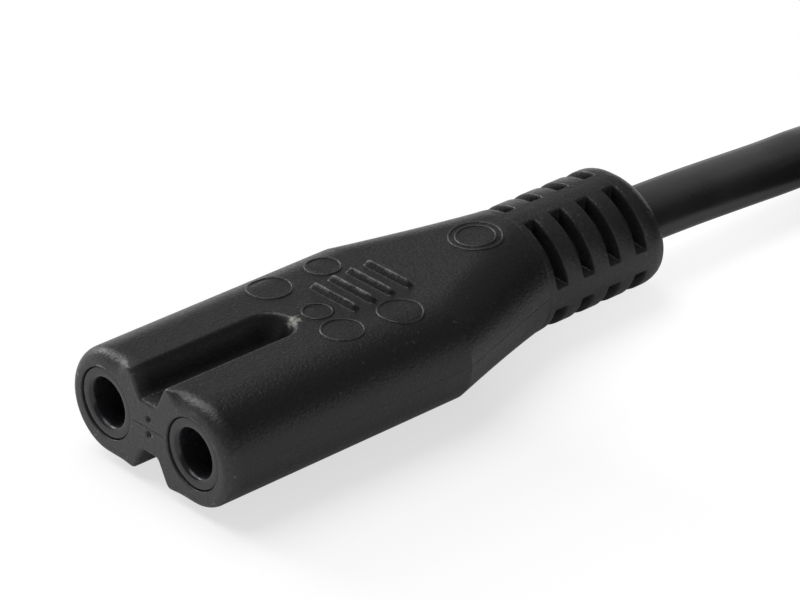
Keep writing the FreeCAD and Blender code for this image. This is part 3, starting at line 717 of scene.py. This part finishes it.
# Four low grip bars across the plug's top.
bar_half_length, bar_half_width, bar_sunk, bar_height, bar_bevel = 4.6, 0.45, 0.6, 0.35, 0.22
bar_low, bar_high = plug_z + plug_half_thick - bar_sunk, plug_z + plug_half_thick + bar_height
bars = [
    rounded_box((plug_x - bar_half_length, y - bar_half_width, bar_low),
                (plug_x + bar_half_length, y + bar_half_width, bar_high), bar_bevel)
    for y in (166.5, 168.5, 170.5, 172.5)
]
shells = [plug_shell, plug_relief, *bars]
plug_body = add_piece("plug_moulding", shells, body_plastic, "body_moulding", "plug_body")

# Pin carrier: an oval plate of hard dark plastic, moulded round the pins and set in the plug's face.
# Its front edge is a little broken.
plate_depth = 5.0
plate_rows = [(0.0, plate_depth), (0.0, 0.12), (-0.04, 0.04), (-0.12, 0.0)]
plate_shrink, plate_back = np.array(plate_rows).T
plate = oval_rows(np.full(len(plate_rows), plate_half), plate_radius + plate_shrink, face_y - plate_back)
plate_shell = capped(plate, (plug_x, face_y - plate_depth, plug_z), (plug_x, face_y, plug_z))
pin_plate = add_piece("pin_plate", [plate_shell], carrier_plastic, "carrier_moulding", "pin_carrier")

# Pins: turned brass, plated bright, with a round nose, held in the plate and leaning slightly together.
# A sleeve of hard dark plastic is moulded on the thinner shank of each.
pin_half_spacing, pin_close, pin_length, pin_columns = 9.3, 0.4, 19.0, 48
pin_root, sleeve_root, sleeve_end, pin_middle = -4.0, -2.5, 10.0, 0.01
shank_radius, sleeve_radius, pin_radius, nose_start, nose_round = 1.4, 1.8, 2.0, 13.0, 1.8
plated, tree, shader = new_material("plated_pin", metallic=1.0)
turned_marks = noise(tree, 1800, 3, (1, 8, 1))
colours(tree, shader, turned_marks, (0.55, 0.55, 0.54), (0.72, 0.72, 0.70))
sheen_of(tree, shader, turned_marks, 0.18, 0.30)
grain_of(tree, shader, turned_marks, 5e-6)
bend = np.linspace(0, np.pi / 2, 12)
nose_radius = pin_radius - nose_round * (1 - np.cos(bend))
pin_nose = np.stack([nose_radius, pin_length - nose_round * (1 - np.sin(bend))], axis=1)
pin_shank = [(pin_middle, pin_root), (shank_radius, pin_root), (shank_radius, sleeve_end)]
pin_collar = [(1.86, sleeve_end), (1.95, 10.04), (pin_radius, 10.12), (pin_radius, nose_start)]
pin_profile = np.concatenate([pin_shank, pin_collar, pin_nose, [(pin_middle, pin_length)]]) + (0, face_y)
sleeve_profile = np.array([
    (shank_radius, sleeve_root), (sleeve_radius, sleeve_root), (sleeve_radius, 9.8), (1.76, 9.95),
    (1.66, sleeve_end), (shank_radius, sleeve_end),
]) + (0, face_y)
on_cord = [plug_body, pin_plate, *ties]
for side, sign in (("left", -1), ("right", 1)):
    lean = -sign * pin_close / pin_length
    foot_x = plug_x + sign * pin_half_spacing
    pin = turned(pin_profile[::-1], pin_columns, foot_x, plug_z, lean, face_y)
    sleeve = turned(sleeve_profile[::-1], pin_columns, foot_x, plug_z, lean, face_y)
    on_cord += [
        add_piece(f"pin_{side}", [pin], plated, "plated_pin", f"plug_pin_{side}"),
        add_piece(f"sleeve_{side}", [sleeve], carrier_plastic, "pin_sleeve", f"pin_sleeve_{side}"),
    ]
for part in ("conductor", "core"):
    on_cord += [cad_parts[f"plug_{part}_{side}"] for side in ("left", "right")]

# Studio: a white floor that keeps the shadow, a broad lamp above on the left, a lower one from the left
# side, a bright horizon, and the camera at the photograph's angle.
camera_place = (0.18391, -0.16415, 0.13989)
camera_turn, camera_down, camera_roll = 48.17, 28.53, -0.292
camera_data = bpy.data.cameras.new("camera")
camera_data.lens = 193.5
camera_data.sensor_width = 36.0
camera = bpy.data.objects.new("camera", camera_data)
bpy.context.scene.collection.objects.link(camera)
around = Matrix.Rotation(math.radians(camera_turn), 4, "Z")
tip = Matrix.Rotation(math.radians(90 - camera_down), 4, "X")
roll = Matrix.Rotation(math.radians(camera_roll), 4, "Z")
camera.matrix_world = Matrix.Translation(camera_place) @ around @ tip @ roll
bpy.context.scene.camera = camera

# The floor glows so that it looks white to the camera, and a painted pool of light beside the cord
# lightens the shadow there. Only a little of that glow shows in the object's reflections.
floor_half = 3
floor_colour, seen_colour = (0.85, 0.85, 0.85, 1), (0.40, 0.40, 0.405, 1)
floor_glow = [("Is Camera Ray", 0.67), ("Is Glossy Ray", 0.12), ("Is Transmission Ray", 0.12)]
painted_light_middle, painted_light_inside, painted_light_outside, painted_light_glow = (0.012, 0.030, 0), 0.008, 0.029, 0.17
floor_mesh = bpy.data.meshes.new("floor")
floor_corners = [(-floor_half, -floor_half, 0), (floor_half, -floor_half, 0), (floor_half, floor_half, 0),
                 (-floor_half, floor_half, 0)]
floor_mesh.from_pydata(floor_corners, [], [(0, 1, 2, 3)])
floor = bpy.data.objects.new("floor", floor_mesh)
bpy.context.scene.collection.objects.link(floor)
floor_paint, tree, shader = new_material("floor_paint", roughness=0.9, specular=0.0)
shader.inputs["Emission Color"].default_value = (1, 1, 1, 1)
rays = add_node(tree, "ShaderNodeLightPath", {}).outputs
paint = mix_colours(tree, rays["Is Camera Ray"], floor_colour, seen_colour)
tree.links.new(paint, shader.inputs["Base Color"])
glow = 0.0
for ray, strength in floor_glow:
    glow = combine(tree, "MULTIPLY_ADD", rays[ray], strength, glow)
floor_place = add_node(tree, "ShaderNodeTexCoord", {}).outputs["Object"]
beside_cord = distance_from(tree, floor_place, painted_light_middle)
painted_floor_light = rescale(tree, beside_cord, painted_light_outside, painted_light_inside, 0.0, painted_light_glow)
glow = combine(tree, "MULTIPLY_ADD", painted_floor_light, rays["Is Camera Ray"], glow)
tree.links.new(glow, shader.inputs["Emission Strength"])
floor_mesh.materials.append(floor_paint)

# The world is bright at the horizon and dim above, and white where the camera sees it.
sky_stops = [(0.08, (1.0, 1.0, 1.0)), (0.34, (0.16, 0.16, 0.16))]
white = (1, 1, 1, 1)
world = bpy.data.worlds.new("studio")
bpy.context.scene.world = world
world.use_nodes = True
tree = world.node_tree
direction = add_node(tree, "ShaderNodeTexCoord", {}).outputs["Generated"]
direction_parts = add_node(tree, "ShaderNodeSeparateXYZ", {"Vector": direction}).outputs
rays = add_node(tree, "ShaderNodeLightPath", {}).outputs
sky = mix_colours(tree, rays["Is Camera Ray"], ramp(tree, direction_parts["Z"], sky_stops), white)
tree.links.new(sky, tree.nodes["Background"].inputs["Color"])
for name, strength, spread, aim in (
    ("key", 1.7, 50, (0.40, 0.06, -0.91)),
    ("side", 1.1, 26, (0.87, 0.06, -0.44)),
):
    lamp_data = bpy.data.lights.new(name, "SUN")
    lamp_data.energy = strength
    lamp_data.angle = math.radians(spread)
    lamp = bpy.data.objects.new(name, lamp_data)
    lamp.rotation_euler = Vector(aim).to_track_quat("-Z", "Y").to_euler()
    bpy.context.scene.collection.objects.link(lamp)
bpy.context.scene.view_settings.view_transform = "Standard"
